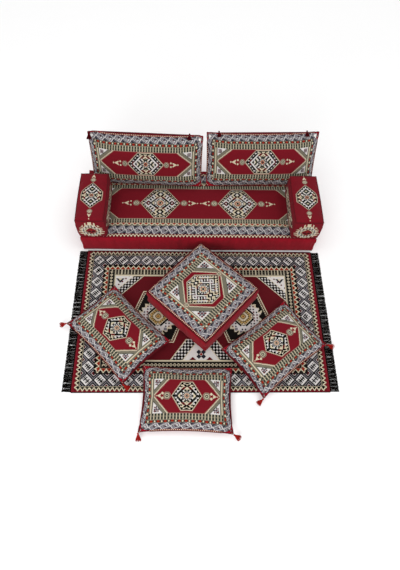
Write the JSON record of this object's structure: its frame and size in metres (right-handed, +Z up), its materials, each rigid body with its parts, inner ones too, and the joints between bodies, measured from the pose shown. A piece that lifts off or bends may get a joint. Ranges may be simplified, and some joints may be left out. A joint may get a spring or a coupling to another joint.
{
  "type": "majlis floor sofa set",
  "caption": "Floor seating set of a long low seat mattress, leaning back cushions, box armrests, a square floor pouf and throw pillows on a fringed flat-woven rug.",
  "frame": {"origin": "middle of the seat mattress's flat underside, on the floor", "axes": "+Z up, +Y from the seat's front to the back cushions, +X along the seat to the sitter's left, which is the right-hand side seen from the front"},
  "size_m": [2.0627, 2.2984, 0.642],
  "materials": {
    "kilim_cloth": "matte",
    "crimson_cloth": "matte",
    "base_cloth": "matte",
    "crimson_piping": "matte",
    "tassel_yarn": "matte",
    "zip_tape": "matte",
    "zip_metal": "satin",
    "foam": "matte",
    "fibre_fill": "matte",
    "rug_kilim": "matte",
    "black_binding": "matte",
    "black_fringe": "matte"
  },
  "bodies": {
    "seat": {"seat_core": "foam", "seat_top_panel": "kilim_cloth", "seat_side_cover": "crimson_cloth", "seat_base_cloth": "base_cloth", "seat_zip_tape": "zip_tape"},
    "seat_zip": {"seat_zip_slider": "zip_metal"},
    "left_arm": {"left_arm_core": "foam", "left_arm_top_panel": "kilim_cloth", "left_arm_side_cover": "crimson_cloth", "left_arm_piping": "crimson_piping", "left_arm_zip_tape": "zip_tape"},
    "left_arm_zip": {"left_arm_zip_slider": "zip_metal"},
    "right_arm": {"right_arm_core": "foam", "right_arm_top_panel": "kilim_cloth", "right_arm_side_cover": "crimson_cloth", "right_arm_piping": "crimson_piping", "right_arm_zip_tape": "zip_tape"},
    "right_arm_zip": {"right_arm_zip_slider": "zip_metal"},
    "left_back": {"left_back_fill": "fibre_fill", "left_back_cover": "kilim_cloth", "left_back_piping": "crimson_piping", "left_back_tassels": "tassel_yarn", "left_back_zip_tape": "zip_tape"},
    "left_back_zip": {"left_back_zip_slider": "zip_metal"},
    "right_back": {"right_back_fill": "fibre_fill", "right_back_cover": "kilim_cloth", "right_back_piping": "crimson_piping", "right_back_tassels": "tassel_yarn", "right_back_zip_tape": "zip_tape"},
    "right_back_zip": {"right_back_zip_slider": "zip_metal"},
    "rug": {"rug_mat": "rug_kilim", "rug_binding": "black_binding", "rug_fringe_left": "black_fringe", "rug_fringe_right": "black_fringe"},
    "pouf": {"pouf_core": "foam", "pouf_top_panel": "kilim_cloth", "pouf_side_cover": "crimson_cloth", "pouf_piping": "crimson_piping", "pouf_zip_tape": "zip_tape"},
    "pouf_zip": {"pouf_zip_slider": "zip_metal"},
    "left_pillow": {"left_pillow_fill": "fibre_fill", "left_pillow_cover": "kilim_cloth", "left_pillow_piping": "crimson_piping", "left_pillow_tassels": "tassel_yarn", "left_pillow_zip_tape": "zip_tape"},
    "left_pillow_zip": {"left_pillow_zip_slider": "zip_metal"},
    "right_pillow": {"right_pillow_fill": "fibre_fill", "right_pillow_cover": "kilim_cloth", "right_pillow_piping": "crimson_piping", "right_pillow_tassels": "tassel_yarn", "right_pillow_zip_tape": "zip_tape"},
    "right_pillow_zip": {"right_pillow_zip_slider": "zip_metal"},
    "front_pillow": {"front_pillow_fill": "fibre_fill", "front_pillow_cover": "kilim_cloth", "front_pillow_piping": "crimson_piping", "front_pillow_tassels": "tassel_yarn", "front_pillow_zip_tape": "zip_tape"},
    "front_pillow_zip": {"front_pillow_zip_slider": "zip_metal"}
  },
  "joints": [
    {"name": "left_arm_lift", "type": "slide", "parent": "seat", "child": "left_arm", "axis": [0, 0, 1], "range_m": [0, 0.3]},
    {"name": "right_arm_lift", "type": "slide", "parent": "seat", "child": "right_arm", "axis": [0, 0, 1], "range_m": [0, 0.3]},
    {"name": "left_back_lift", "type": "slide", "parent": "seat", "child": "left_back", "axis": [0, 0, 1], "range_m": [0, 0.5]},
    {"name": "right_back_lift", "type": "slide", "parent": "seat", "child": "right_back", "axis": [0, 0, 1], "range_m": [0, 0.5]},
    {"name": "pouf_lift", "type": "slide", "parent": "rug", "child": "pouf", "axis": [0, 0, 1], "range_m": [0, 0.35]},
    {"name": "left_pillow_lift", "type": "slide", "parent": "rug", "child": "left_pillow", "axis": [0, 0, 1], "range_m": [0, 0.3]},
    {"name": "right_pillow_lift", "type": "slide", "parent": "rug", "child": "right_pillow", "axis": [0, 0, 1], "range_m": [0, 0.3]},
    {"name": "front_pillow_lift", "type": "slide", "parent": "rug", "child": "front_pillow", "axis": [0, 0, 1], "range_m": [0, 0.3]},
    {"name": "rug_slide", "type": "slide", "parent": "seat", "child": "rug", "axis": [0, -1, 0], "range_m": [0, 0.4]},
    {"name": "seat_zip_run", "type": "slide", "parent": "seat", "child": "seat_zip", "axis": [1, 0, 0], "range_m": [0, 1.343]},
    {"name": "left_arm_zip_run", "type": "slide", "parent": "left_arm", "child": "left_arm_zip", "axis": [0, 1, 0], "range_m": [0, 0.273]},
    {"name": "right_arm_zip_run", "type": "slide", "parent": "right_arm", "child": "right_arm_zip", "axis": [0, 1, 0], "range_m": [0, 0.273]},
    {"name": "pouf_zip_run", "type": "slide", "parent": "pouf", "child": "pouf_zip", "axis": [0.6833, 0.7302, 0], "range_m": [0, 0.383]},
    {"name": "left_back_zip_run", "type": "slide", "parent": "left_back", "child": "left_back_zip", "axis": [0.9993, -0.0384, 0], "range_m": [0, 0.343]},
    {"name": "right_back_zip_run", "type": "slide", "parent": "right_back", "child": "right_back_zip", "axis": [0.9996, 0.0279, 0], "range_m": [0, 0.343]},
    {"name": "left_pillow_zip_run", "type": "slide", "parent": "left_pillow", "child": "left_pillow_zip", "axis": [0.6959, -0.7181, 0], "range_m": [0, 0.283]},
    {"name": "right_pillow_zip_run", "type": "slide", "parent": "right_pillow", "child": "right_pillow_zip", "axis": [0.7848, 0.6198, 0], "range_m": [0, 0.283]},
    {"name": "front_pillow_zip_run", "type": "slide", "parent": "front_pillow", "child": "front_pillow_zip", "axis": [0.9997, -0.0262, 0], "range_m": [0, 0.283]}
  ]
}
